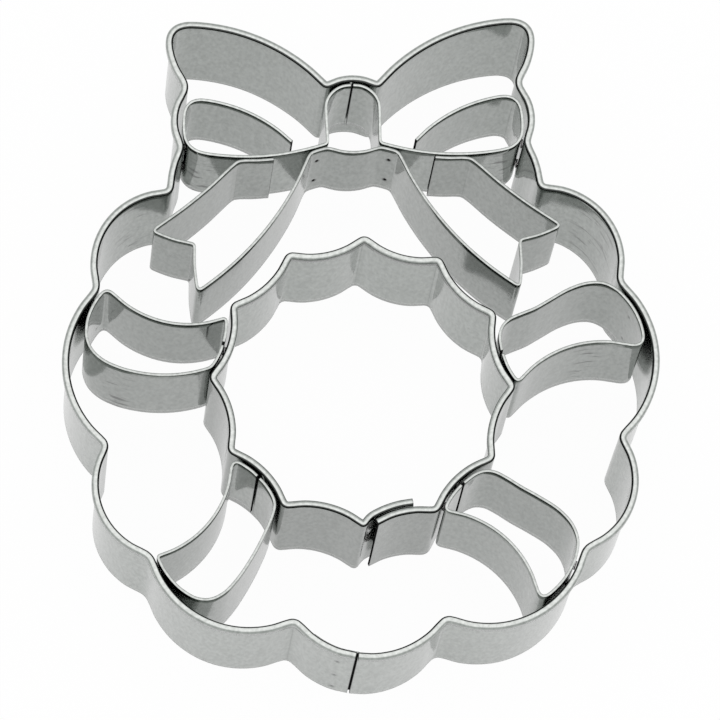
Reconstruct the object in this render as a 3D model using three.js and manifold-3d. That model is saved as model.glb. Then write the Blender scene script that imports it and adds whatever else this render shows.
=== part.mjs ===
// Cookie cutter in the shape of a wreath with a bow, bent from nine sheet-metal strips.
// Millimetres, +Z up. It stands on its cutting edges at z = 0, with the rolled hems on top.
// Plan sizes are taken on the middle of each strip, from the centre of the wreath, with +Y to the bow.
// A bulge is how far an arc stands out from the straight line between its two ends.
import * as THREE from 'three';
import { mergeVertices } from 'three/addons/utils/BufferGeometryUtils.js';
import Module from 'manifold-3d';

// Sheet metal, hems and fits
const SHEET = 0.4;
const CUTTER_HEIGHT = 24;
const HEM_WIDTH = 1;
const HEM_DEPTH = 1.4;
const HEM_CHAMFER = 0.25;
const FIT_GAP = 0.3;

// Embossing strips: almost flush with the hems above, set back from the cutting edge below
const TOP_RECESS = 0.2;
const WRAP_SETBACK = 4;
const BOW_SETBACK = 5.4;

// Scalloped edge, one side from the bow down: each cusp, and the scallop that runs on from it
const CUSP_UNDER_BOW = { radius: 40.45, degrees: 42.8, bulge: 4.9 };
const CUSP_UPPER = { radius: 41.4, degrees: 68.7, bulge: 5.6 };
const CUSP_MIDDLE = { radius: 38.75, degrees: 103.4, bulge: 4.6 };
const CUSP_LOWER = { radius: 41.05, degrees: 128.9, bulge: 5.8 };
const CUSP_BOTTOM = { radius: 37.55, degrees: 162.9, bulge: 5.9 };
const CUSP_ROUND = 1.5;

// Lap seam of the outer band, measured along the bottom scallop from its right cusp
const SEAM_ALONG = 15.3;
const HEM_END_GAP = 0.3;
const TONGUE_LENGTH = 7;
const JOGGLE_START = 0.75;
const JOGGLE_END = 0.2;

// Outline of the bow, one side from the knot outward
const BOW_VALLEY = { x: 3.95, y: 46.15, bulge: 3, round: 0.9 };
const BOW_TIP = { x: 26.95, y: 56.2, bulge: 1.1, round: 3.4 };
const BOW_WAIST = { x: 24.15, y: 46.6, bulge: 1.7, round: 2 };
const BOW_FOOT = { x: 25.5, y: 37.35, bulge: 0.5, round: 1.2 };
const KNOT_BULGE = 1.2;

// Inner ring
const RING_CUSPS = 12;
const RING_CUSP_RADIUS = 23;
const RING_BULGE = 1.52;
const RING_ROUND = 1.2;
const RING_TURN = 2.7;

// Lap seam of the inner ring, in the arc between the lowest cusp and the next one to its right
const LAP_CUSP = 6;
const LAP_FRONT_LIFT = 1;
const LAP_FRONT_TRIM = 3.4;
const LAP_BACK_DROP = 0.5;
const LAP_BACK_TURN = 1.4;
const LAP_BACK_JOIN = { along: 3.2, round: 0.7 };
const LAP_BACK_TRIM = 3.8;

// Ribbon wraps: each loop has a foot in one arc of the ring, counted clockwise from the bow, and a far end.
// Out and side are measured from the middle of that arc, to the outer band and to the left.
const WRAP_UPPER_RIGHT = {
  arc: 2, footRight: -5.35, footRightRound: 0.9, footLeft: 4.8, footLeftRound: 3, leftBulge: -1.35,
  endLeftOut: 14, endLeft: 9.1, endLeftRound: 6.25, endBulge: 3.05,
  endRightOut: 20.65, endRight: -4.75, endRightRound: 2.8, rightBulge: -3.35,
};
const WRAP_UPPER_LEFT = {
  arc: 9, footRight: -3.75, footRightRound: 0.75, footLeft: 4.35, footLeftRound: 0.6, leftBulge: 2.15,
  endLeftOut: 18.8, endLeft: 7.5, endLeftRound: 5.2, endBulge: 1.55,
  endRightOut: 19, endRight: -3.1, endRightRound: 1.45, rightBulge: -3,
};
const WRAP_LOWER_LEFT = {
  arc: 7, footRight: -4.75, footRightRound: 1.65, footLeft: 4.75, footLeftRound: 1.3, leftBulge: 1.05,
  endLeftOut: 18.5, endLeft: 9.65, endLeftRound: 5.3, endBulge: 1.4,
  endRightOut: 19.3, endRight: -1.55, endRightRound: 0.5, rightBulge: -3.1,
};
const WRAP_LOWER_RIGHT = {
  arc: 4, footRight: -5, footRightRound: 1.15, footLeft: 4.7, footLeftRound: 2.55, leftBulge: -0.45,
  endLeftOut: 15.15, endLeft: 9.05, endLeftRound: 6.55, endBulge: 2.25,
  endRightOut: 20.5, endRight: -4.4, endRightRound: 2.05, rightBulge: -3.4,
};
const WRAP_SLIT = 0.5;

// Bow strips, one side from the free end to the knot
const BOW_FREE_END = { x: 9.35, y: 37.8, bulge: 1.75 };
const BOW_LOOP_TOP = { x: 26, y: 44.8, bulge: 0.15, round: 3.2 };
const BOW_LOOP_BOTTOM = { x: 26.2, y: 36.8, bulge: 1.6, round: 3.2 };
const KNOT_FOOT = { x: 3.95, y: 37.5, round: 0.5 };
const KNOT_SHOULDER = { x: 4.05, y: 43.6, bulge: -0.9, round: 0.8 };
const CROWN_SLIT = 0.3;

// Ribbon strip, one side from the knot: roots along the underside of the bow, and corners of the tail
const KNOT_SAG = 0.8;
const KNOT_ROOT = { along: 0.2, round: 0.6 };
const TAIL_INNER_ROOT = { along: 3, bulge: -2.1, round: 0.8 };
const TAIL_INNER_POINT = { x: 24.1, y: 14.5, bulge: -0.25, round: 0.9 };
const TAIL_NOTCH = { x: 24.4, y: 21.9, bulge: -0.3, round: 0.6 };
const TAIL_OUTER_POINT = { x: 30.7, y: 24.1, bulge: 0.45, round: 0.9 };
const TAIL_OUTER_ROOT = { along: 14, round: 0.9 };
const TAIL_FREE_END = { along: 8.6 };

// Spot welds
const WELD_DIAMETER = 1.4;
const WELD_CLEARANCE = 0.05;
const WELD_INSET = 4.5;
const SEAM_WELDS = { low: 2.2, middle: 9, high: 17 };
const SEAM_WELD_ALONG = 2.5;
const RING_WELD_ALONG = 2.6;
const FOOT_WELD_ALONG = 1.5;
const CROWN_WELD_ALONG = 1.2;
const LAP_WELD_ALONG = 2.2;
const ROOT_WELD_ALONG = 1.6;

// Fineness of the bends, the most of an arc that the bend at its end may take, and the seating of loops
const CHORD_ERROR = 0.05;
const SHORTEST_STEP = 0.5;
const ROUND_STEP = THREE.MathUtils.degToRad(24);
const LARGEST_ROUND_SHARE = 0.45;
const STRAIGHT = 1e-6;
const WELD_SIDES = 10;
const SEAT_STEP = 0.5;
const SEAT_TRAVEL = 20;
const SEAT_ERROR = 0.005;

// Finishes
const BRIGHT_STEEL = { color: 0xb4b8b4, roughness: 0.2, metalness: 1 };
const WELDED_STEEL = { color: 0x7d7f7c, roughness: 0.5, metalness: 1 };

const HALF_SHEET = SHEET / 2;
const SEATED = SHEET + FIT_GAP;
const EMBOSS_TOP = CUTTER_HEIGHT - TOP_RECESS;

const wasm = await Module();
wasm.setup();

// Corners and arcs

function clockwise(radius, degrees) {
  const angle = THREE.MathUtils.degToRad(degrees);
  return new THREE.Vector2(radius * Math.sin(angle), radius * Math.cos(angle));
}

function corner(at, { bulge = 0, round = 0 } = {}) {
  return { at, bulge, round };
}

function placed(size) {
  return corner(new THREE.Vector2(size.x, size.y), size);
}

function mirrorPoint(point) {
  return new THREE.Vector2(-point.x, point.y);
}

// The same corners in a mirror on the bow's axis, walked the other way.
function mirrorCorners(corners) {
  const reversed = [...corners].reverse();
  return reversed.map((item, i) => {
    return corner(mirrorPoint(item.at), { bulge: reversed[i + 1]?.bulge, round: item.round });
  });
}

function leftOf(direction) {
  return new THREE.Vector2(-direction.y, direction.x);
}

function arcRadius(chord, bulge) {
  return (chord * chord / 4 + bulge * bulge) / (2 * Math.abs(bulge));
}

function bulgeOf(radius, chord) {
  return radius - Math.sqrt(radius * radius - chord * chord / 4);
}

// Arc from one point to another, standing out to the left by its bulge.
function arcBetween(start, end, bulge) {
  if (Math.abs(bulge) < STRAIGHT) return new THREE.LineCurve(start, end);
  const chord = end.clone().sub(start);
  const radius = arcRadius(chord.length(), bulge);
  const sweep = -Math.sign(bulge) * 4 * Math.atan((2 * Math.abs(bulge)) / chord.length());
  const centre = start.clone().add(end).multiplyScalar(0.5);
  centre.addScaledVector(leftOf(chord).normalize(), bulge - Math.sign(bulge) * radius);
  const from = start.clone().sub(centre).angle();
  return new THREE.ArcCurve(centre.x, centre.y, radius, from, from + sweep, sweep < 0);
}

function turnBetween(before, after) {
  return Math.acos(THREE.MathUtils.clamp(before.dot(after), -1, 1));
}

function arcSteps(turn, length) {
  if (turn < STRAIGHT) return 1;
  const finest = 2 * Math.acos(Math.max(0, 1 - (CHORD_ERROR * turn) / length));
  return Math.ceil(turn / Math.min(finest, ROUND_STEP));
}

// Where the lines through the two ends of a bend cross.
function crossing(start, before, end, after) {
  const across = before.cross(after);
  if (Math.abs(across) < STRAIGHT) return start.clone().add(end).multiplyScalar(0.5);
  return start.clone().addScaledVector(before, end.clone().sub(start).cross(after) / across);
}

// Middle line of a strip: arcs from corner to corner, with each corner bent round.
function bendStrip(corners) {
  const arcs = corners.slice(1).map((item, i) => arcBetween(corners[i].at, item.at, corners[i].bulge));
  const lengths = arcs.map((arc) => arc.getLength());
  const rounds = corners.map((item, i) => {
    const shorter = Math.min(lengths[i - 1] ?? Infinity, lengths[i] ?? Infinity);
    return Math.min(item.round, LARGEST_ROUND_SHARE * shorter);
  });
  const points = [];
  arcs.forEach((arc, i) => {
    const from = rounds[i] / lengths[i];
    const to = 1 - rounds[i + 1] / lengths[i];
    const turn = turnBetween(arc.getTangent(from), arc.getTangent(to));
    const steps = arcSteps(turn, lengths[i] * (to - from));
    for (let k = 0; k <= steps; k += 1) points.push(arc.getPoint(from + ((to - from) * k) / steps));
    if (i + 1 === arcs.length) return;
    const next = rounds[i + 1] / lengths[i + 1];
    const start = arc.getPoint(to);
    const end = arcs[i + 1].getPoint(next);
    const before = arc.getTangent(to);
    const after = arcs[i + 1].getTangent(next);
    const bend = new THREE.QuadraticBezierCurve(start, crossing(start, before, end, after), end);
    const bends = Math.max(2, Math.ceil(turnBetween(before, after) / ROUND_STEP));
    for (let k = 1; k < bends; k += 1) points.push(bend.getPoint(k / bends));
  });
  return points;
}

// Closed run of corners, walked once round and on over its first arc again.
function bendCircuit(corners) {
  const [first, second] = corners;
  return bendStrip([corner(first.at, { bulge: first.bulge }), ...corners.slice(1), first, corner(second.at)]);
}

// Paths

function pathLength(points) {
  return points.slice(1).reduce((sum, point, i) => sum + point.distanceTo(points[i]), 0);
}

function along(points, length) {
  let rest = length;
  for (let i = 1; i < points.length; i += 1) {
    const step = points[i].distanceTo(points[i - 1]);
    if (rest <= step || i === points.length - 1) return points[i - 1].clone().lerp(points[i], rest / step);
    rest -= step;
  }
  return points[0].clone();
}

// The part of a path between two lengths.
function cutPath(points, from, to) {
  const kept = [along(points, from)];
  let run = 0;
  for (let i = 1; i < points.length; i += 1) {
    run += points[i].distanceTo(points[i - 1]);
    if (run > from + SHORTEST_STEP && run < to - SHORTEST_STEP) kept.push(points[i]);
  }
  kept.push(along(points, to));
  return kept;
}

// A path moved sideways, to its left for a positive distance.
function offsetPath(points, distance) {
  return points.map((point, i) => {
    const before = point.clone().sub(points[Math.max(i - 1, 0)]).normalize();
    const after = points[Math.min(i + 1, points.length - 1)].clone().sub(point).normalize();
    const ahead = before.clone().add(after).normalize();
    const reach = distance / ahead.dot(i === 0 ? after : before);
    return point.clone().addScaledVector(leftOf(ahead), reach);
  });
}

function nearestOn(points, target) {
  let best = { distance: Infinity };
  for (let i = 1; i < points.length; i += 1) {
    const side = points[i].clone().sub(points[i - 1]);
    const share = target.clone().sub(points[i - 1]).dot(side) / side.lengthSq();
    const spot = points[i - 1].clone().addScaledVector(side, THREE.MathUtils.clamp(share, 0, 1));
    const distance = spot.distanceTo(target);
    if (distance < best.distance) best = { spot, distance };
  }
  return best;
}

// The place where one path comes closest to another.
function closestApproach(points, others) {
  const fromPoints = points.map((point) => ({ point, distance: nearestOn(others, point).distance }));
  const fromOthers = others.map((other) => {
    const { spot, distance } = nearestOn(points, other);
    return { point: spot, distance };
  });
  return [...fromPoints, ...fromOthers].reduce((best, next) => (next.distance < best.distance ? next : best));
}

// How far a strip is stretched until it seats against a wall.
function seatAgainst(wall, makePath) {
  const isClear = (stretch) => closestApproach(makePath(stretch), wall).distance > SEATED;
  let far = -SEAT_TRAVEL / 2;
  while (far < SEAT_TRAVEL / 2 && isClear(far)) far += SEAT_STEP;
  let near = far - SEAT_STEP;
  while (far - near > SEAT_ERROR) {
    const middle = (near + far) / 2;
    if (isClear(middle)) near = middle;
    else far = middle;
  }
  return near;
}

// Solids

function stripOutline(path, left, right) {
  return new THREE.Shape([...offsetPath(path, left), ...offsetPath(path, -right).reverse()]);
}

function extrudeBetween(outline, bottom, top, chamfer = 0) {
  const geometry = new THREE.ExtrudeGeometry(outline, {
    depth: top - bottom - 2 * chamfer,
    bevelEnabled: chamfer > 0,
    bevelThickness: chamfer,
    bevelSize: chamfer,
    bevelOffset: -chamfer,
    bevelSegments: 1,
  });
  return geometry.translate(0, 0, bottom + chamfer);
}

function wallGeometry(path, bottom, top) {
  return extrudeBetween(stripOutline(path, HALF_SHEET, HALF_SHEET), bottom, top);
}

// Hem rolled over to the left of the strip, flush with the strip's right face.
function hemGeometry(path) {
  const outline = stripOutline(path, HEM_WIDTH - HALF_SHEET, HALF_SHEET);
  return extrudeBetween(outline, CUTTER_HEIGHT - HEM_DEPTH, CUTTER_HEIGHT, HEM_CHAMFER);
}

function toSolid(geometry) {
  geometry.deleteAttribute('normal');
  geometry.deleteAttribute('uv');
  const welded = mergeVertices(geometry);
  return new wasm.Manifold(new wasm.Mesh({
    numProp: 3,
    vertProperties: welded.attributes.position.array,
    triVerts: Uint32Array.from(welded.index.array),
  }));
}

function joinGeometries(geometries) {
  const { vertProperties, triVerts } = geometries.map(toSolid).reduce((sum, solid) => sum.add(solid)).getMesh();
  const geometry = new THREE.BufferGeometry();
  geometry.setAttribute('position', new THREE.BufferAttribute(vertProperties, 3));
  geometry.setIndex(new THREE.BufferAttribute(triVerts, 1));
  geometry.computeVertexNormals();
  return geometry;
}

const cutter = new THREE.Group();

function addPart(name, geometry, finish) {
  const mesh = new THREE.Mesh(geometry, new THREE.MeshStandardMaterial(finish));
  mesh.name = name;
  cutter.add(mesh);
  return mesh;
}

function addStrip(name, geometry) {
  addPart(name, geometry, BRIGHT_STEEL);
}

// Weld nugget between a spot on one strip and the strip beside it.
function addWeld(name, spot, besidePath, height) {
  const { spot: beside, distance } = nearestOn(besidePath, spot);
  const thickness = distance - SHEET - 2 * WELD_CLEARANCE;
  const geometry = new THREE.CylinderGeometry(WELD_DIAMETER / 2, WELD_DIAMETER / 2, thickness, WELD_SIDES);
  const nugget = addPart(name, geometry, WELDED_STEEL);
  const middle = spot.clone().add(beside).multiplyScalar(0.5);
  nugget.position.set(middle.x, middle.y, height);
  nugget.rotation.z = beside.clone().sub(spot).angle() - Math.PI / 2;
}

function addWeldRow(name, spot, besidePath, heights) {
  heights.forEach((height, i) => addWeld(`${name}_${i + 1}`, spot, besidePath, height));
}

const seamWelds = [SEAM_WELDS.low, SEAM_WELDS.middle, SEAM_WELDS.high];
const wrapWelds = [WRAP_SETBACK + WELD_INSET, EMBOSS_TOP - WELD_INSET];
const bowWelds = [BOW_SETBACK + WELD_INSET, EMBOSS_TOP - WELD_INSET];

// Outer band: one hemmed strip round the wreath and the bow, lapped and welded at the bottom.
const rightSide = [
  ...[BOW_VALLEY, BOW_TIP, BOW_WAIST, BOW_FOOT].map(placed),
  ...[CUSP_UNDER_BOW, CUSP_UPPER, CUSP_MIDDLE, CUSP_LOWER, CUSP_BOTTOM].map((cusp) => {
    return corner(clockwise(cusp.radius, cusp.degrees), { bulge: cusp.bulge, round: CUSP_ROUND });
  }),
];
const leftSide = mirrorCorners(rightSide);
leftSide.at(-1).bulge = KNOT_BULGE;
const bottomRight = rightSide.at(-1);
const bandCircuit = bendCircuit([bottomRight, ...leftSide, ...rightSide.slice(0, -1)]);
const bottomScallop = bendStrip([corner(bottomRight.at, { bulge: bottomRight.bulge }), corner(leftSide[0].at)]);
const seamEnd = pathLength(bandCircuit) - pathLength(bottomScallop) + SEAM_ALONG;
const bandWall = cutPath(bandCircuit, SEAM_ALONG, seamEnd - JOGGLE_START);
const bandHem = cutPath(bandCircuit, SEAM_ALONG, seamEnd - HEM_END_GAP);
const innerScallop = offsetPath(bottomScallop, -SEATED);
const shrink = pathLength(innerScallop) / pathLength(bottomScallop);
const tongue = [
  along(bottomScallop, SEAM_ALONG - JOGGLE_START - FIT_GAP),
  along(bottomScallop, SEAM_ALONG - JOGGLE_START),
  ...cutPath(innerScallop, (SEAM_ALONG - JOGGLE_END) * shrink, (SEAM_ALONG + TONGUE_LENGTH) * shrink),
];
addStrip('outer_band', joinGeometries([
  wallGeometry(bandWall, 0, CUTTER_HEIGHT - HEM_CHAMFER),
  wallGeometry(tongue, 0, CUTTER_HEIGHT - HEM_DEPTH - FIT_GAP),
  hemGeometry(bandHem),
]));
addWeldRow('weld_band_seam', along(bandWall, SEAM_WELD_ALONG), tongue, seamWelds);

// Inner ring: one hemmed strip round the hole, its two ends lapped side by side.
function ringCusp(index, lift = 0, turn = 0) {
  return clockwise(RING_CUSP_RADIUS + lift, RING_TURN - turn + (index * 360) / RING_CUSPS);
}
const lapStep = HEM_WIDTH + FIT_GAP;
const lapStart = ringCusp(LAP_CUSP, LAP_FRONT_LIFT);
const frontArc = bendStrip([corner(lapStart, { bulge: RING_BULGE }), corner(ringCusp(LAP_CUSP - 1))]);
const backArc = offsetPath(frontArc, lapStep);
const backJoin = along(backArc, LAP_BACK_JOIN.along);
const backEnd = along(backArc, pathLength(backArc) - LAP_BACK_TRIM);
const backRadius = arcRadius(lapStart.distanceTo(ringCusp(LAP_CUSP - 1)), RING_BULGE) + lapStep;
const backBulge = bulgeOf(backRadius, backJoin.distanceTo(backEnd));
const ringCorners = [corner(lapStart, { bulge: RING_BULGE })];
for (let step = 1; step <= RING_CUSPS; step += 1) {
  const isLast = step === RING_CUSPS;
  const at = isLast ? ringCusp(LAP_CUSP, -LAP_BACK_DROP, LAP_BACK_TURN) : ringCusp(LAP_CUSP - step);
  ringCorners.push(corner(at, { bulge: isLast ? 0 : RING_BULGE, round: RING_ROUND }));
}
ringCorners.push(corner(backJoin, { bulge: backBulge, round: LAP_BACK_JOIN.round }), corner(backEnd));
const ringCircuit = bendStrip(ringCorners);
const ringPath = cutPath(ringCircuit, LAP_FRONT_TRIM, pathLength(ringCircuit));
addStrip('inner_ring', joinGeometries([
  wallGeometry(ringPath, 0, CUTTER_HEIGHT - HEM_CHAMFER),
  hemGeometry(ringPath),
]));
const ringBack = cutPath(ringPath, pathLength(ringPath) / 2, pathLength(ringPath));
addWeldRow('weld_ring_seam', along(ringPath, RING_WELD_ALONG), ringBack, seamWelds);

// Ribbon wraps: loops seated in an arc of the ring and stretched out to the outer band.
const ringArcChord = ringCusp(0).distanceTo(ringCusp(1));
const wrapFootRadius = arcRadius(ringArcChord, RING_BULGE) - SEATED;
const wrapSeat = RING_CUSP_RADIUS * Math.cos(Math.PI / RING_CUSPS) - RING_BULGE + SEATED + 2 * CHORD_ERROR;

function wrapCircuit(wrap, stretch) {
  const outward = clockwise(1, RING_TURN + ((wrap.arc + 0.5) * 360) / RING_CUSPS);
  const footBulge = bulgeOf(wrapFootRadius, wrap.footLeft - wrap.footRight);
  const at = (out, side) => {
    return outward.clone().multiplyScalar(wrapSeat + out).addScaledVector(leftOf(outward), side);
  };
  return bendCircuit([
    corner(at(footBulge, wrap.footRight), { bulge: footBulge, round: wrap.footRightRound }),
    corner(at(footBulge, wrap.footLeft), { bulge: wrap.leftBulge, round: wrap.footLeftRound }),
    corner(at(wrap.endLeftOut + stretch, wrap.endLeft), { bulge: wrap.endBulge, round: wrap.endLeftRound }),
    corner(at(wrap.endRightOut + stretch, wrap.endRight), { bulge: wrap.rightBulge, round: wrap.endRightRound }),
  ]);
}

const wraps = {
  upper_right: WRAP_UPPER_RIGHT,
  upper_left: WRAP_UPPER_LEFT,
  lower_left: WRAP_LOWER_LEFT,
  lower_right: WRAP_LOWER_RIGHT,
};
Object.entries(wraps).forEach(([name, wrap]) => {
  const stretch = seatAgainst(bandHem, (length) => wrapCircuit(wrap, length));
  const loop = wrapCircuit(wrap, stretch);
  const footHalf = wrapFootRadius * Math.asin((wrap.footLeft - wrap.footRight) / 2 / wrapFootRadius);
  const slit = footHalf + WRAP_SLIT / 2;
  const path = cutPath(loop, slit, pathLength(loop) - slit);
  addStrip(`wrap_${name}`, wallGeometry(path, WRAP_SETBACK, EMBOSS_TOP));
  addWeldRow(`weld_wrap_${name}_band`, closestApproach(path, bandHem).point, bandHem, wrapWelds);
  const feet = [along(path, FOOT_WELD_ALONG), along(path, pathLength(path) - FOOT_WELD_ALONG)];
  feet.forEach((spot, i) => {
    addWeld(`weld_wrap_${name}_foot_${i + 1}`, spot, ringPath, (WRAP_SETBACK + EMBOSS_TOP) / 2);
  });
});

// Bow strips: each runs from a free end round its loop, under the bow and up its half of the knot.
const crown = new THREE.Vector2(CROWN_SLIT / 2, BOW_VALLEY.y + KNOT_BULGE - SEATED);

function bowCorners(stretch) {
  const stretched = (size) => placed({ ...size, x: size.x + stretch });
  return [placed(BOW_FREE_END), stretched(BOW_LOOP_TOP), stretched(BOW_LOOP_BOTTOM), placed(KNOT_FOOT)];
}

const bowStretch = seatAgainst(bandHem, (stretch) => bendStrip(bowCorners(stretch)));
const bowRun = bowCorners(bowStretch);
const bowRight = bendStrip([...bowRun, placed(KNOT_SHOULDER), corner(crown)]);
const bowSides = { right: bowRight, left: bowRight.map(mirrorPoint) };

// Ribbon strip: under the knot and round both tails, its ends lapped under the bow strips.
const [, , loopBottom, knotFoot] = bowRun;
const bowUnder = bendStrip([corner(loopBottom.at, loopBottom), corner(knotFoot.at)]);
const underside = offsetPath(bowUnder, SEATED).reverse();
const undersideRadius = arcRadius(loopBottom.at.distanceTo(knotFoot.at), loopBottom.bulge) + SEATED;

function under(size) {
  return along(underside, size.along);
}

function underBulge(from, to) {
  return Math.sign(from.along - to.along) * bulgeOf(undersideRadius, under(from).distanceTo(under(to)));
}

const tailRight = [
  corner(under(KNOT_ROOT), { bulge: underBulge(KNOT_ROOT, TAIL_INNER_ROOT), round: KNOT_ROOT.round }),
  corner(under(TAIL_INNER_ROOT), TAIL_INNER_ROOT),
  ...[TAIL_INNER_POINT, TAIL_NOTCH, TAIL_OUTER_POINT].map(placed),
  corner(under(TAIL_OUTER_ROOT), {
    bulge: underBulge(TAIL_OUTER_ROOT, TAIL_FREE_END),
    round: TAIL_OUTER_ROOT.round,
  }),
  corner(under(TAIL_FREE_END)),
];
const tailLeft = mirrorCorners(tailRight);
tailLeft.at(-1).bulge = -KNOT_SAG;
const ribbon = bendStrip([...tailLeft, ...tailRight]);
addStrip('ribbon_strip', wallGeometry(ribbon, BOW_SETBACK, EMBOSS_TOP));

Object.entries(bowSides).forEach(([side, path]) => {
  addStrip(`bow_strip_${side}`, wallGeometry(path, BOW_SETBACK, EMBOSS_TOP));
  const loopPart = path.slice(0, Math.floor(path.length / 2));
  addWeldRow(`weld_bow_${side}_band`, closestApproach(loopPart, bandHem).point, bandHem, bowWelds);
  const crownSpot = along(path, pathLength(path) - CROWN_WELD_ALONG);
  addWeld(`weld_bow_${side}_crown`, crownSpot, bandHem, (BOW_SETBACK + EMBOSS_TOP) / 2);
  const spots = {
    lap: along(underside, TAIL_FREE_END.along + LAP_WELD_ALONG),
    root: along(underside, KNOT_ROOT.along + ROOT_WELD_ALONG),
  };
  Object.entries(spots).forEach(([place, spot]) => {
    const onRibbon = side === 'right' ? spot : mirrorPoint(spot);
    addWeldRow(`weld_ribbon_${side}_${place}`, onRibbon, path, bowWelds);
  });
});

// The origin lies under the middle of the whole outline.
const outline = new THREE.Box2().setFromPoints(offsetPath(bandHem, HEM_WIDTH - HALF_SHEET));
const centre = outline.getCenter(new THREE.Vector2());
cutter.position.set(-centre.x, -centre.y, 0);

export default cutter;
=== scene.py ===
import math

import bmesh
import bpy
import numpy as np
from mathutils import Matrix, Vector, noise


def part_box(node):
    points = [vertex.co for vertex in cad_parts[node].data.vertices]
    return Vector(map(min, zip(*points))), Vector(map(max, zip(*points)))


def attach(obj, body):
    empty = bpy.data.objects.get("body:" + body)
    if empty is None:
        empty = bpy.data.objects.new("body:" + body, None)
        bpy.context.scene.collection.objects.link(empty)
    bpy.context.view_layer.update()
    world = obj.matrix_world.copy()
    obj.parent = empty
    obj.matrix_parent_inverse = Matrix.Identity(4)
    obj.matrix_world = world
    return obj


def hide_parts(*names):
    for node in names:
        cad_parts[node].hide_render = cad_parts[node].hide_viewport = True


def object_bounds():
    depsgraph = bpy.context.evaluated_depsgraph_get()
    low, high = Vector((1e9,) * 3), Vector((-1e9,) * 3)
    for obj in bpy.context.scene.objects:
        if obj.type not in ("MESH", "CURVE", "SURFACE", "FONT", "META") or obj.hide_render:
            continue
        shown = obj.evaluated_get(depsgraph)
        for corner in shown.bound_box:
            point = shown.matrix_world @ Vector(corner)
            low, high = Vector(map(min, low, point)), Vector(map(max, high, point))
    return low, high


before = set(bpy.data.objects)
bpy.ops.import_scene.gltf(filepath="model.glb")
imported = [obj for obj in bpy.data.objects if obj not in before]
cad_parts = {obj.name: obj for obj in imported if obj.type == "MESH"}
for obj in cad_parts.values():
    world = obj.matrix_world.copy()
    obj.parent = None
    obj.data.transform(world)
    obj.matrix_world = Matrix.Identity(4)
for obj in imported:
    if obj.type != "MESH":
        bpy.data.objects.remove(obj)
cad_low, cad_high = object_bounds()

# Outer band: one long strip of bright steel sheet, bent round a former to the wreath and the bow.
# Its top edge is rolled outwards into a hem that is safe to press on. Its ends are lapped in front,
# the right one stepped inwards behind the left one, and held there by three spot welds.

MM = 0.001
SHEET = 0.4 * MM
CUTTER_HEIGHT = cad_high.z
SMALLEST_STEP = SHEET / 20

# CAD points are matched in whole thousandths of a millimetre.
SAME_SPOT = 1e6
LEVEL_PLAY = 3


def rim_of_face(node, height):
    """Points round the flat face that a CAD strip has at one height, in order."""
    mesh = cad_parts[node].data
    mesh.calc_loop_triangles()
    spots = [tuple(round(value * SAME_SPOT) for value in vertex.co) for vertex in mesh.vertices]
    level = round(height * SAME_SPOT)
    edges = set()
    for triangle in mesh.loop_triangles:
        corners = [spots[index] for index in triangle.vertices]
        if any(abs(corner[2] - level) > LEVEL_PLAY for corner in corners):
            continue
        for start, end in zip(corners, corners[1:] + corners[:1]):
            if (end, start) in edges:
                edges.remove((end, start))
            else:
                edges.add((start, end))
    following = dict(edges)
    rim = [min(following)]
    while following[rim[-1]] != rim[0]:
        rim.append(following[rim[-1]])
    return np.array(rim)[:, :2] / SAME_SPOT


def unit(vectors):
    """The same directions, each one long."""
    return vectors / np.linalg.norm(vectors, axis=1, keepdims=True)


def middle_line(node, height):
    """Middle line of a CAD strip, from one square end to the other."""
    rim = rim_of_face(node, height)
    half = len(rim) // 2
    ways = unit(np.roll(rim, -1, 0) - rim)
    out_of_square = np.abs((ways * np.roll(ways, 1, 0)).sum(1))
    end_edge = out_of_square + np.roll(out_of_square, -1)
    both_ends = end_edge + np.roll(end_edge, -half)
    first = int(np.argmin(both_ends[:half]))
    turned = np.roll(rim, -(first + 1), 0)
    return (turned[:half] + turned[half:][::-1]) / 2


def lengths_along(points):
    """Length walked from the first point to each point."""
    return np.concatenate([[0], np.cumsum(np.linalg.norm(np.diff(points, axis=0), axis=1))])


def at_lengths(points, lengths):
    """Places on a line after walking some lengths."""
    run = lengths_along(points)
    return np.column_stack([np.interp(lengths, run, points[:, 0]), np.interp(lengths, run, points[:, 1])])


CURVE_STEPS = 20
LINE_STEP = 0.05 * MM


def bent_smooth(points):
    """The same line through all its points, bent smoothly and walked in fine steps. Each stretch between
    two points is blended from those two and their neighbours."""
    points = points[np.concatenate([[True], np.diff(lengths_along(points)) > SMALLEST_STEP])]
    padded = np.concatenate([[2 * points[0] - points[1]], points, [2 * points[-1] - points[-2]]])
    knots = np.concatenate([[0], np.cumsum(np.linalg.norm(np.diff(padded, axis=0), axis=1) ** 0.5)])
    fine = []
    for i in range(1, len(padded) - 2):
        p0, p1, p2, p3 = padded[i - 1:i + 3]
        t0, t1, t2, t3 = knots[i - 1:i + 3]
        t = np.linspace(t1, t2, CURVE_STEPS, endpoint=False)[:, None]
        a1 = (t1 - t) / (t1 - t0) * p0 + (t - t0) / (t1 - t0) * p1
        a2 = (t2 - t) / (t2 - t1) * p1 + (t - t1) / (t2 - t1) * p2
        a3 = (t3 - t) / (t3 - t2) * p2 + (t - t2) / (t3 - t2) * p3
        b1 = (t2 - t) / (t2 - t0) * a1 + (t - t0) / (t2 - t0) * a2
        b2 = (t3 - t) / (t3 - t1) * a2 + (t - t1) / (t3 - t1) * a3
        fine.append((t2 - t) / (t2 - t1) * b1 + (t - t1) / (t2 - t1) * b2)
    fine = np.concatenate(fine + [points[-1:]])
    total = lengths_along(fine)[-1]
    return at_lengths(fine, np.linspace(0, total, round(total / LINE_STEP) + 1))


def left_of_line(points):
    """Direction to the left of a line at each of its points."""
    ways = np.gradient(points, axis=0)
    return unit(np.column_stack([-ways[:, 1], ways[:, 0]]))


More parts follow.
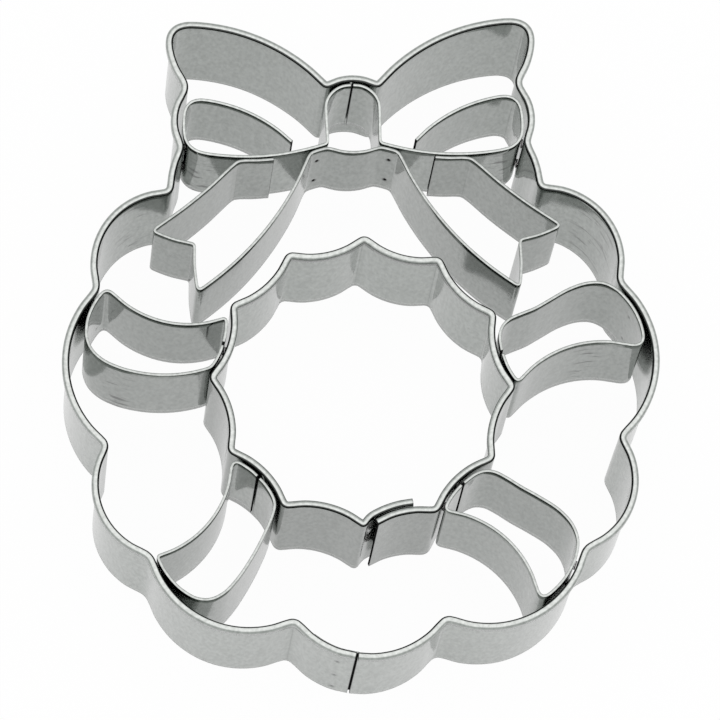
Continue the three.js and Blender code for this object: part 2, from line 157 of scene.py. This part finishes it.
WELD_REACH = 2 * SHEET
WELD_DENT = 0.05 * MM
WELD_DENT_WIDTH = 0.35 * MM
WELD_DENT_TALL = 0.6 * MM
FINE_STEPS = np.linspace(-2, 2, 17) * WELD_DENT_TALL


def weld_marks(line, welds, burn):
    """Length, height, face and burn of each electrode's mark on a strip, opposite its weld's nugget."""
    side = left_of_line(line)
    run = lengths_along(line)
    marks = []
    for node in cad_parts:
        if not node.startswith(welds):
            continue
        low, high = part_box(node)
        middle = (low + high) / 2
        spot = np.array(middle.xy)
        nearest = int(np.argmin(np.linalg.norm(line - spot, axis=1)))
        if np.linalg.norm(line[nearest] - spot) < WELD_REACH:
            face = -np.sign((spot - line[nearest]) @ side[nearest])
            marks.append((run[nearest], middle.z, face, burn))
    return marks


def steps_with_marks(low, high, step, mark_places):
    """Even steps from low to high, with finer ones round each mark."""
    even = np.linspace(low, high, max(2, round((high - low) / step)) + 1)
    steps = np.concatenate([even] + [place + FINE_STEPS for place in mark_places])
    steps = np.sort(steps[(steps >= low) & (steps <= high)])
    return steps[np.concatenate([[True], np.diff(steps) > SMALLEST_STEP])]


EDGE_ROUND = 0.02 * MM


def plain_section(heights, half_sheet, left_painted_shade, right_painted_shade):
    """Outline of a plain sheet standing on edge: sideways place, height and painted shade of each point."""
    bottom, top = heights[0], heights[-1]
    inner = half_sheet - EDGE_ROUND
    rows = heights[1:-1]
    right = [(-half_sheet, bottom + EDGE_ROUND)] + [(-half_sheet, row) for row in rows]
    top_edge = [(-half_sheet, top - EDGE_ROUND), (-inner, top), (inner, top), (half_sheet, top - EDGE_ROUND)]
    left = [(half_sheet, row) for row in rows[::-1]] + [(half_sheet, bottom + EDGE_ROUND)]
    outline = right + top_edge + left + [(inner, bottom), (-inner, bottom)]
    # Each face takes its own painted shade: an even darkening that stands in for the shade the strip sits
    # in.
    return [(across, height, left_painted_shade if across > 0 else right_painted_shade) for across, height in outline]


HEM_DEPTH = 1.4 * MM
HEM_GROOVE = 0.5 * MM
HEM_SPRING = 0.1 * MM
FLAP_SHEET = 0.85 * SHEET

# Hem's top from the dough side to its free side: slope in degrees, length in mm, and how much painted shade
# it carries, which draws the black line along the dough side.
HEM_STRETCHES = [(-90, 0, 0), (-70, 0.05, 0.8), (-57, 0.18, 0.8), (-55, 0.18, 0.8), (-30, 0.05, 0.7),
                 (-8, 0.06, 0), (0, 0.12, 0), (8, 0.14, 0), (17, 0.1, 0), (26, 0.1, 0), (36, 0.09, 0),
                 (46, 0.09, 0), (57, 0.08, 0), (68, 0.08, 0), (79, 0.08, 0), (90, 0.08, 0)]


def hem_crown(hem_width):
    """Top of the hem, from its dough side: sideways place, height from the crest, and painted shade."""
    places = [np.zeros(2)]
    for before, (slope, length, _) in zip(HEM_STRETCHES, HEM_STRETCHES[1:]):
        lean = math.radians((before[0] + slope) / 2)
        places.append(places[-1] + length * MM * np.array([math.cos(lean), -math.sin(lean)]))
    places = np.array(places)
    places[:, 0] *= hem_width / places[-1, 0]
    places[:, 1] -= places[:, 1].max()
    return [(*place, stretch[2]) for place, stretch in zip(places, HEM_STRETCHES)]


def hemmed_section(heights, hem_width, wall_painted_shade, flap_painted_shade):
    """Outline of a sheet whose top edge is rolled over to the left, flush with its right face, with painted
    shade on its wall face, along the hem's dough side and at the hem's free edge.
    """
    half_sheet = SHEET / 2
    hem_left = hem_width - half_sheet
    flap_foot = CUTTER_HEIGHT - HEM_DEPTH
    flap_back = hem_left - FLAP_SHEET
    rows = [row for row in heights[1:] if row < flap_foot]
    wall = [(-half_sheet, EDGE_ROUND)] + [(-half_sheet, row) for row in rows + [flap_foot]]
    flap = [(hem_left, flap_foot + EDGE_ROUND), (hem_left - EDGE_ROUND, flap_foot)]
    flap += [(flap_back + EDGE_ROUND, flap_foot), (flap_back, flap_foot + EDGE_ROUND)]
    flap += [(flap_back, flap_foot + HEM_GROOVE), (half_sheet, flap_foot + HEM_GROOVE)]
    back = [(half_sheet, row) for row in [flap_foot] + rows[::-1]] + [(half_sheet, EDGE_ROUND)]
    back += [(half_sheet - EDGE_ROUND, 0), (EDGE_ROUND - half_sheet, 0)]
    crown = []
    for across, above, dark in hem_crown(hem_width):
        crown.append((across - half_sheet, CUTTER_HEIGHT + above, dark))
    # The hem's free edge carries painted shade, a dark line for the gap under the flap.
    crown[-1] = (*crown[-1][:2], flap_painted_shade)
    return [(*point, wall_painted_shade) for point in wall] + crown + [(*point, 0) for point in flap + back]


# Bends are one over their radius in millimetres.
BEND_SPREAD = 0.8 * MM
GENTLE_BEND = 0.12
SHARP_BEND = 0.32
SHARPEST_BEND = 0.52


def bend_along(line, run):
    """How tightly a strip is bent at each place."""
    ways = np.unwrap(np.arctan2(*np.gradient(line, axis=0).T[::-1]))
    turn = np.abs(np.gradient(ways, run))
    spread = np.exp(-((run[:, None] - run) / BEND_SPREAD) ** 2)
    return spread @ turn / spread.sum(1) * MM


WRINKLE_REACH = 2.4 * MM


def wrinkled_along(line, wrinkles):
    """How wrinkled a strip is along its line, from the plan places of its wrinkles in millimetres."""
    wrinkled = np.zeros(len(line))
    for place in wrinkles:
        away = np.linalg.norm(line - np.array(place) * MM, axis=1)
        wrinkled = np.maximum(wrinkled, np.exp(-(away / WRINKLE_REACH) ** 2))
    return wrinkled


UV_SPAN = 100 * MM


def join_rings(shape, rings, run, section):
    """Faces between the rings of points along a strip and at its two ends, with places on the flat sheet."""
    girth = lengths_along(np.array(section)[:, :2])
    sheet_place = shape.loops.layers.uv.verify()
    count = len(section)
    for i in range(len(rings) - 1):
        for k in range(count):
            after = (k + 1) % count
            face = shape.faces.new((rings[i][k], rings[i][after], rings[i + 1][after], rings[i + 1][k]))
            face.smooth = True
            near = girth[k]
            far = girth[after] if after else girth[-1] + SHEET
            places = [(run[i], near), (run[i], far), (run[i + 1], far), (run[i + 1], near)]
            for loop, place in zip(face.loops, places):
                loop[sheet_place].uv = (place[0] / UV_SPAN, place[1] / UV_SPAN)
    shape.faces.new(rings[0][::-1])
    shape.faces.new(rings[-1])


STATION_STEP = 0.3 * MM
CUT_EDGE = 0.12 * MM
CUT_CLEARANCE = 1.5 * CUT_EDGE
# Cut ends are painted black: painted shade for the shadow gap behind each strip's end.
CUT_END_PAINTED_SHADE = 1
# Each sharp bend gets a faint dark line in the colour, broken in places and fading out under the hem.
BEND_LINE_WIDTH = 0.1 * MM
BEND_LINE_DARKNESS = 0.5
BEND_LINE_SHARE = 0.6
BEND_LINE_BREAKS = 0.4
BEND_BREAK_LENGTH = 2 * MM
BEND_BREAK_HEIGHT = 1 * MM
HEM_FADE = 1 * MM
SHEET_WAVE = 0.03 * MM
WAVE_LENGTH = 7 * MM
WAVE_HEIGHT = 16 * MM
WAVE_FADE = 6 * MM
MARK_REACH = 3 * WELD_DENT_WIDTH


def sweep_sheet(shape, line, section, marks, wrinkles, seed):
    """Adds a strip to a bmesh: one section carried along a line, with slight waves, weld marks, a faint dark
    line at each sharp bend, painted shade at the cut ends, and wrinkles drawn as painted shade on the face
    to the front."""
    total = lengths_along(line)[-1]
    even = np.linspace(0, total, round(total / STATION_STEP) + 1)
    even_bend = bend_along(at_lengths(line, even), even)
    highest = (even_bend >= np.roll(even_bend, 1)) & (even_bend > np.roll(even_bend, -1))
    bend_lines = even[highest & (even_bend > SHARP_BEND)]
    run = steps_with_marks(0, total, STATION_STEP, [mark[0] for mark in marks] + list(bend_lines))
    between = run[(run > CUT_CLEARANCE) & (run < total - CUT_CLEARANCE)]
    run = np.concatenate([[0, CUT_EDGE], between, [total - CUT_EDGE, total]])
    line = at_lengths(line, run)
    side = left_of_line(line)
    bend = np.interp(np.interp(run, even, even_bend), [GENTLE_BEND, SHARPEST_BEND], [0, 1])
    at_bend_line = np.exp(-((run[:, None] - bend_lines) / BEND_LINE_WIDTH) ** 2).max(axis=1, initial=0)
    # Painted shade at the two cut ends.
    cut = np.where((run == 0) | (run == total), CUT_END_PAINTED_SHADE, 0)
    wrinkled = wrinkled_along(line, wrinkles)
    values = shape.verts.layers.float
    # Darkening held at each vertex: weld burns, bend lines, and painted shade on hems, cut ends, the tongue
    # and whole strips.
    marks_and_painted_shade = values.get("marks_and_painted_shade") or values.new("marks_and_painted_shade")
    bend_amount = values.get("bend") or values.new("bend")
    wrinkle_amount = values.get("wrinkled") or values.new("wrinkled")
    rings = []
    for station, length in enumerate(run):
        left = side[station]
        near_marks = [mark for mark in marks if abs(mark[0] - length) < MARK_REACH]
        ring = []
        for across, height, dark in section:
            fade = min(1, max(0, (CUTTER_HEIGHT - height) / WAVE_FADE))
            wave = noise.noise((length / WAVE_LENGTH, height / WAVE_HEIGHT, seed))
            sideways = across + SHEET_WAVE * fade * wave
            for mark_length, mark_height, face, burn in near_marks:
                along = (length - mark_length) / WELD_DENT_WIDTH
                away = math.hypot(along, (height - mark_height) / WELD_DENT_TALL)
                if across * face > 0:
                    sideways -= face * WELD_DENT * math.exp(-away ** 4)
                    dark = max(dark, min(1, burn * math.exp(-away ** 2)))
            below_hem = min(1, max(0, (CUTTER_HEIGHT - HEM_DEPTH - height) / HEM_FADE))
            breaks = noise.noise((length / BEND_BREAK_LENGTH, height / BEND_BREAK_HEIGHT, seed))
            broken = BEND_LINE_SHARE + BEND_LINE_BREAKS * breaks
            dark = max(dark, cut[station], BEND_LINE_DARKNESS * at_bend_line[station] * below_hem * broken)
            x, y = line[station] + left * sideways
            vertex = shape.verts.new((x, y, height))
            vertex[marks_and_painted_shade] = dark
            vertex[bend_amount] = bend[station]
            # Wrinkles are painted shade, and only on the face to the front.
            vertex[wrinkle_amount] = wrinkled[station] * below_hem * (left[1] * across < 0)
            ring.append(vertex)
        rings.append(ring)
    join_rings(shape, rings, run, section)


CRISP_EDGE = math.radians(50)


def steel_piece(node, shape, material):
    """Turns a bmesh into a piece of the cutter in place of a CAD node, with smooth bends and crisp edges."""
    bmesh.ops.recalc_face_normals(shape, faces=shape.faces)
    name = node + "_steel"
    mesh = bpy.data.meshes.new(name)
    shape.to_mesh(mesh)
    shape.free()
    mesh.set_sharp_from_angle(angle=CRISP_EDGE)
    mesh.materials.append(material)
    piece = bpy.data.objects.new(name, mesh)
    bpy.context.scene.collection.objects.link(piece)
    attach(piece, "root")
    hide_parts(node)


def add_node(tree, kind, values):
    """A new shader node with some of its sockets set."""
    node = tree.nodes.new("ShaderNode" + kind)
    for socket, value in values.items():
        node.inputs[socket].default_value = value
    return node


def add_ramp(tree, amount, ends):
    """A ramp between two colours, each with its place on the ramp."""
    ramp = add_node(tree, "ValToRGB", {})
    for element, (place, colour) in zip(ramp.color_ramp.elements, ends):
        element.position = place
        element.color = colour
    tree.links.new(amount, ramp.inputs["Fac"])
    return ramp


def add_noise(tree, places, values):
    """How strong a noise pattern is at some places."""
    pattern = add_node(tree, "TexNoise", values)
    tree.links.new(places, pattern.inputs["Vector"])
    return pattern.outputs["Fac"]


def stretched(tree, places, scale):
    """The same places with their own scale along each axis."""
    mapping = add_node(tree, "Mapping", {"Scale": scale})
    tree.links.new(places, mapping.inputs["Vector"])
    return mapping.outputs["Vector"]


def in_range(tree, amount, values):
    """The same amount carried from one range to another."""
    span = add_node(tree, "MapRange", values)
    tree.links.new(amount, span.inputs["Value"])
    return span.outputs["Result"]


def share_of(tree, amount, share):
    """An amount times a plain number."""
    product = add_node(tree, "Math", {1: share})
    product.operation = "MULTIPLY"
    tree.links.new(amount, product.inputs[0])
    return product.outputs["Value"]


def two_amounts(tree, operation, first, second):
    """Two amounts multiplied, or the larger of the two."""
    both = add_node(tree, "Math", {})
    both.operation = operation
    tree.links.new(first, both.inputs[0])
    tree.links.new(second, both.inputs[1])
    return both.outputs["Value"]


def vertex_amount(tree, name):
    """An amount that the mesh holds at its vertices."""
    attribute = add_node(tree, "Attribute", {})
    attribute.attribute_name = name
    return attribute.outputs["Fac"]


DARK_STEEL = (0.3135, 0.334, 0.317, 1)
PALE_STEEL = (0.4305, 0.456, 0.436, 1)
# Near black for weld burns, bend lines and painted shade; where the darkening is fullest the steel is no
# longer metal.
MARKS_AND_PAINTED_SHADE_BLACK = (0.02, 0.02, 0.02, 1)
BLACKEST_MARKS_AND_PAINTED_SHADE = 0.9
MOTTLE_SCALE = (1800, 1800, 750)
MOTTLE_LOW = 0.3
MOTTLE_HIGH = 0.7
# Wrinkles are dark lines painted into the colour: painted shade in their creases.
WRINKLE_SCALE = (22, 75, 1)
WRINKLE_LOW = 0.55
WRINKLE_HIGH = 0.64
WRINKLE_PAINTED_SHADE = 0.75
ROLLING_SCALE = (20, 900, 1)
GLOSSIEST = 0.06
DULLEST = 0.14
CRINKLE_SCALE = 900
CRINKLE_STRENGTH = 0.35
CRINKLE_DEPTH = 0.05 * MM
GRAIN_STRENGTH = 0.03
GRAIN_DEPTH = 0.02 * MM


def bright_steel():
    """Bright rolled steel: faint mottling, fine lines along the strip, crinkled bends, wrinkles drawn as
    painted shade, and darkening from weld burns, bend lines and painted shade, which is dull where it is
    black."""
    material = bpy.data.materials.new("bright_steel_sheet")
    material.use_nodes = True
    tree = material.node_tree
    links = tree.links
    surface = tree.nodes["Principled BSDF"]
    surface.inputs["Specular IOR Level"].default_value = 0
    place = add_node(tree, "TexCoord", {}).outputs

    mottle = add_noise(tree, stretched(tree, place["Object"], MOTTLE_SCALE), {"Scale": 1, "Detail": 3})
    tone = add_ramp(tree, mottle, [(MOTTLE_LOW, DARK_STEEL), (MOTTLE_HIGH, PALE_STEEL)])
    # Base colour darkened towards near black by weld burns, bend lines and painted shade.
    marks_and_painted_shade = vertex_amount(tree, "marks_and_painted_shade")
    # Painted shade along the wrinkles, where the mesh says a strip is wrinkled.
    wrinkles = add_noise(tree, stretched(tree, place["UV"], WRINKLE_SCALE),
                         {"Scale": 1, "Detail": 3, "Distortion": 0.4})
    wrinkle_lines = in_range(tree, wrinkles, {
        "From Min": WRINKLE_LOW, "From Max": WRINKLE_HIGH, "To Max": WRINKLE_PAINTED_SHADE,
    })
    lines_there = two_amounts(tree, "MULTIPLY", wrinkle_lines, vertex_amount(tree, "wrinkled"))
    darkened = add_node(tree, "Mix", {})
    darkened.data_type = "RGBA"
    darkened.inputs["B"].default_value = MARKS_AND_PAINTED_SHADE_BLACK
    links.new(two_amounts(tree, "MAXIMUM", marks_and_painted_shade, lines_there), darkened.inputs["Factor"])
    links.new(tone.outputs["Color"], darkened.inputs["A"])
    links.new(darkened.outputs["Result"], surface.inputs["Base Color"])
    bare_metal = in_range(tree, marks_and_painted_shade, {"From Min": BLACKEST_MARKS_AND_PAINTED_SHADE, "To Min": 1, "To Max": 0})
    links.new(bare_metal, surface.inputs["Metallic"])

    rolling_lines = add_noise(tree, stretched(tree, place["UV"], ROLLING_SCALE), {"Scale": 1, "Detail": 3})
    gloss = in_range(tree, rolling_lines, {"To Min": GLOSSIEST, "To Max": DULLEST})
    links.new(gloss, surface.inputs["Roughness"])

    crinkles = add_noise(tree, place["Object"], {"Scale": CRINKLE_SCALE, "Detail": 2, "Distortion": 1.5})
    crinkled = add_node(tree, "Bump", {"Distance": CRINKLE_DEPTH})
    crinkling = share_of(tree, vertex_amount(tree, "bend"), CRINKLE_STRENGTH)
    links.new(crinkling, crinkled.inputs["Strength"])
    links.new(crinkles, crinkled.inputs["Height"])
    grain = add_node(tree, "Bump", {"Strength": GRAIN_STRENGTH, "Distance": GRAIN_DEPTH})
    links.new(mottle, grain.inputs["Height"])
    links.new(crinkled.outputs["Normal"], grain.inputs["Normal"])
    links.new(grain.outputs["Normal"], surface.inputs["Normal"])
    return material


# Wrinkles are given by their plan places in millimetres, and drawn as painted shade.
# Painted shade along the band hem's free edge, under its flap.
BAND_FLAP_PAINTED_SHADE = 0.15
BAND_WRINKLES = [(37.1, 15.2), (35.1, 18.5), (-33.8, 20.9)]
BAND_BURN = 0.8
BAND_SEED = 1
ROW_STEP = 1.6 * MM
LAP_GAP = 0.05 * MM
TONGUE_DROP = 0.3 * MM
TONGUE_HALF_SHEET = 0.14 * MM
# The tongue's face towards the band's left end is painted black: painted shade for the dark slit of the
# lapped seam.
TONGUE_PAINTED_SHADE = 1
TONGUE_ROOT_STEPS = 20
steel = bright_steel()

# Wall and hem end together at the seam's left end, where both lines start.
band_wall = bent_smooth(middle_line("outer_band", 0))
band_crest = bent_smooth(middle_line("outer_band", CUTTER_HEIGHT))
seam_gaps = np.linalg.norm(band_wall[[0, -1], None] - band_crest[[0, -1]], axis=2)
if seam_gaps[1].min() < seam_gaps[0].min():
    band_wall = band_wall[::-1]
    seam_gaps = seam_gaps[::-1]
if seam_gaps[0, 1] < seam_gaps[0, 0]:
    band_crest = band_crest[::-1]

# The hem's middle leans out from the wall's, and its ends stop short of the wall's ends.
first_way, last_way = unit(np.array([band_crest[0] - band_crest[1], band_crest[-1] - band_crest[-2]]))
crest_inset, crest_lean = np.abs([first_way, (-first_way[1], first_way[0])] @ (band_wall[0] - band_crest[0]))
HEM_WIDTH = 2 * crest_lean + SHEET + HEM_SPRING
band_crest = np.concatenate([
    [band_crest[0] + first_way * crest_inset], band_crest, [band_crest[-1] + last_way * crest_inset],
])
band_line = band_crest - left_of_line(band_crest) * crest_lean

# The tongue is the wall past the hem's right end, pressed against the back of the left end.
tongue_start = len(band_wall) // 2
tongue_start += int(np.argmin(np.linalg.norm(band_wall[tongue_start:] - band_line[-1], axis=1)))
tongue_line = band_wall[tongue_start - TONGUE_ROOT_STEPS:]
behind = np.linalg.norm(tongue_line[:, None] - band_line, axis=2).min(axis=1)
closing = np.maximum(0, behind - SHEET - LAP_GAP)[:, None]
tongue_line = tongue_line + left_of_line(tongue_line) * closing

band = bmesh.new()
seam_marks = weld_marks(band_line, ("weld_band_seam",), BAND_BURN)
band_heights = steps_with_marks(0, CUTTER_HEIGHT - HEM_DEPTH, ROW_STEP, [mark[1] for mark in seam_marks])
band_section = hemmed_section(band_heights, HEM_WIDTH, 0, BAND_FLAP_PAINTED_SHADE)
sweep_sheet(band, band_line, band_section, seam_marks, BAND_WRINKLES, BAND_SEED)
tongue_heights = steps_with_marks(0, CUTTER_HEIGHT - HEM_DEPTH - TONGUE_DROP, ROW_STEP, [])
tongue_section = plain_section(tongue_heights, TONGUE_HALF_SHEET, TONGUE_PAINTED_SHADE, 0)
sweep_sheet(band, tongue_line, tongue_section, [], [], BAND_SEED)
steel_piece("outer_band", band, steel)

# Inner ring: a second hemmed strip of the same steel, bent to twelve shallow arcs round the hole.
# Its hem is rolled in towards the hole, and its two ends lie side by side at the front, spot-welded.

# Painted shade: the ring's outside face is darkened a little, for the shade between ring and band.
RING_OUTSIDE_PAINTED_SHADE = 0.25
# Painted shade: a black line along the ring hem's free edge, for the dark gap under its flap.
RING_FLAP_PAINTED_SHADE = 0.9
RING_SEED = 2
ring_line = bent_smooth(middle_line("inner_ring", 0))
ring_crest = middle_line("inner_ring", CUTTER_HEIGHT)
if left_of_line(ring_line)[0] @ (ring_crest[0] - ring_line[0]) < 0:
    ring_line = ring_line[::-1]
ring_heights = steps_with_marks(0, CUTTER_HEIGHT - HEM_DEPTH, ROW_STEP, [])
ring = bmesh.new()
ring_section = hemmed_section(ring_heights, HEM_WIDTH, RING_OUTSIDE_PAINTED_SHADE, RING_FLAP_PAINTED_SHADE)
sweep_sheet(ring, ring_line, ring_section, [], [], RING_SEED)
steel_piece("inner_ring", ring, steel)

# Ribbon wraps: four loops of plain steel strip, welded with a foot to the ring and a far end to the band.
# They are cut square at both edges and stop short of the cutting edge, to press lines into the dough.
# The upper two have wrinkles left by the press, drawn as painted shade.

WRAP_BURN = 0.7
# Painted shade: the wraps are darkened evenly, for the shade inside the cutter.
WRAP_PAINTED_SHADE = 0.11
WRAP_WRINKLES = {
    "upper_right": [(34.6, -1.7)],
    "upper_left": [(-36, -4.4)],
    "lower_left": [],
    "lower_right": [],
}
WRAP_SEED = 3


def plain_strip(node, welds, burn, marks_and_painted_shade, wrinkles, seed):
    """A plain strip along its CAD node's middle line, with the marks of some of its welds and an even
    painted shade.
    """
    low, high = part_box(node)
    line = bent_smooth(middle_line(node, low.z))
    marks = weld_marks(line, welds, burn)
    heights = steps_with_marks(low.z, high.z, ROW_STEP, [mark[1] for mark in marks])
    strip = bmesh.new()
    sweep_sheet(strip, line, plain_section(heights, SHEET / 2, marks_and_painted_shade, marks_and_painted_shade), marks, wrinkles, seed)
    steel_piece(node, strip, steel)


for seed, (place, wrinkles) in enumerate(WRAP_WRINKLES.items(), WRAP_SEED):
    far_welds = ("weld_wrap_" + place + "_band",)
    plain_strip("wrap_" + place, far_welds, WRAP_BURN, WRAP_PAINTED_SHADE, wrinkles, seed)

# Bow strips: two plain steel strips, each bent round a loop of the bow, back under it and up half the knot.
# Their free ends lie behind the knot, and they are welded to the band and to the ribbon strip below.

BOW_BURN = 1
# Painted shade: the bow strips are darkened very slightly, for the shade inside the cutter.
BOW_PAINTED_SHADE = 0.02
BOW_WRINKLES = {"left": [(-22.7, 29.2)], "right": [(22.3, 28.6)]}
BOW_SEED = 7
for seed, (side, wrinkles) in enumerate(BOW_WRINKLES.items(), BOW_SEED):
    plain_strip("bow_strip_" + side, ("weld_ribbon_" + side,), BOW_BURN, BOW_PAINTED_SHADE, wrinkles, seed)

# Ribbon strip: one plain steel strip, bent under the knot and round both notched tails.
# Its ends are lapped under the bow strips, and the welds at its roots have burnt small dark marks.

RIBBON_BURN = 1.8
# Painted shade: the ribbon strip is darkened evenly, for the shade inside the cutter.
RIBBON_PAINTED_SHADE = 0.14
RIBBON_SEED = 9
ribbon_roots = ("weld_ribbon_left_root", "weld_ribbon_right_root")
plain_strip("ribbon_strip", ribbon_roots, RIBBON_BURN, RIBBON_PAINTED_SHADE, [], RIBBON_SEED)

# Spot welds: small nuggets where two strips were pressed together and melted into each other.
# They stay the CAD's own solids, in dull heat-stained steel.

BURNT_STEEL = (0.12, 0.12, 0.13, 1)
DULL_STEEL = (0.36, 0.35, 0.33, 1)
STAIN_SCALE = 2500
weld_steel = bpy.data.materials.new("welded_steel")
weld_steel.use_nodes = True
weld_tree = weld_steel.node_tree
weld_surface = weld_tree.nodes["Principled BSDF"]
weld_surface.inputs["Metallic"].default_value = 1
weld_surface.inputs["Roughness"].default_value = 0.45
weld_place = add_node(weld_tree, "TexCoord", {}).outputs["Object"]
stain = add_noise(weld_tree, weld_place, {"Scale": STAIN_SCALE})
stain_tone = add_ramp(weld_tree, stain, [(0, BURNT_STEEL), (1, DULL_STEEL)])
weld_tree.links.new(stain_tone.outputs["Color"], weld_surface.inputs["Base Color"])
for node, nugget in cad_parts.items():
    if node.startswith("weld"):
        nugget.data.materials.clear()
        nugget.data.materials.append(weld_steel)

# Floor: a plain white sheet under the cutter, bright to the camera and to the steel's reflections.
# It keeps a little of the cutter's soft shadow.

FLOOR_HALF_SIDE = 4
FLOOR_DROP = 0.02 * MM
FLOOR_PAINT = (0.645, 0.645, 0.645, 1)
GLOW_SEEN = 0.97
GLOW_MIRRORED = 0.66
floor_shape = bmesh.new()
bmesh.ops.create_grid(floor_shape, x_segments=1, y_segments=1, size=FLOOR_HALF_SIDE)
floor_mesh = bpy.data.meshes.new("floor")
floor_shape.to_mesh(floor_mesh)
floor_shape.free()
floor = bpy.data.objects.new("floor", floor_mesh)
floor.location.z = -FLOOR_DROP
bpy.context.scene.collection.objects.link(floor)
white = bpy.data.materials.new("white_floor")
white.use_nodes = True
white_tree = white.node_tree
paint = white_tree.nodes["Principled BSDF"]
paint.inputs["Base Color"].default_value = FLOOR_PAINT
paint.inputs["Roughness"].default_value = 0.9
glow = add_node(white_tree, "Emission", {"Color": (1, 1, 1, 1)})
path = add_node(white_tree, "LightPath", {}).outputs
seen = share_of(white_tree, path["Is Camera Ray"], GLOW_SEEN)
mirrored = share_of(white_tree, path["Is Glossy Ray"], GLOW_MIRRORED)
blend = add_node(white_tree, "MixShader", {})
white_tree.links.new(two_amounts(white_tree, "MAXIMUM", seen, mirrored), blend.inputs["Fac"])
white_tree.links.new(paint.outputs["BSDF"], blend.inputs[1])
white_tree.links.new(glow.outputs["Emission"], blend.inputs[2])
white_tree.links.new(blend.outputs["Shader"], white_tree.nodes["Material Output"].inputs["Surface"])
floor_mesh.materials.append(white)

# Light: a wide soft light overhead, longer from side to side than from front to back,
# falling off slowly to a pale room at the horizon.

LIGHT_SPREAD = (0.75, 1.2, 1)
ROOM_HEIGHT = 0.5
ROOM_TONE = (0.42, 0.42, 0.42, 1)
LIGHT_HEIGHT = 0.98
LIGHT_TONE = (1, 0.97, 0.985, 1)
LIGHT_STRENGTH = 2.05
world = bpy.data.worlds.new("studio")
world.use_nodes = True
bpy.context.scene.world = world
sky_tree = world.node_tree
way = add_node(sky_tree, "TexCoord", {}).outputs["Generated"]
spread_way = add_node(sky_tree, "VectorMath", {})
spread_way.operation = "NORMALIZE"
split = add_node(sky_tree, "SeparateXYZ", {})
sky_tree.links.new(stretched(sky_tree, way, LIGHT_SPREAD), spread_way.inputs[0])
sky_tree.links.new(spread_way.outputs["Vector"], split.inputs["Vector"])
height_tone = add_ramp(sky_tree, split.outputs["Z"], [(ROOM_HEIGHT, ROOM_TONE), (LIGHT_HEIGHT, LIGHT_TONE)])
height_tone.color_ramp.interpolation = "EASE"
sky = sky_tree.nodes["Background"]
sky.inputs["Strength"].default_value = LIGHT_STRENGTH
sky_tree.links.new(height_tone.outputs["Color"], sky.inputs["Color"])

# Camera: a long lens above the front of the cutter, a little to its left.
# It is rolled until the bow stands upright in the picture.

CAMERA_PLACE = Vector((-0.07006, -0.29649, 1.00562))
CAMERA_AIM = Vector((0.00057, -0.00033, 0.01203))
CAMERA_ROLL = math.radians(12)
CAMERA_LENS = 344.7
SENSOR_WIDTH = 36
lens = bpy.data.cameras.new("camera")
lens.sensor_width = SENSOR_WIDTH
lens.lens = CAMERA_LENS
camera = bpy.data.objects.new("camera", lens)
camera.location = CAMERA_PLACE
facing = (CAMERA_AIM - CAMERA_PLACE).to_track_quat("-Z", "Y").to_matrix()
camera.rotation_euler = (facing @ Matrix.Rotation(CAMERA_ROLL, 3, "Z")).to_euler()
bpy.context.scene.collection.objects.link(camera)
bpy.context.scene.camera = camera
bpy.context.scene.view_settings.view_transform = "Standard"
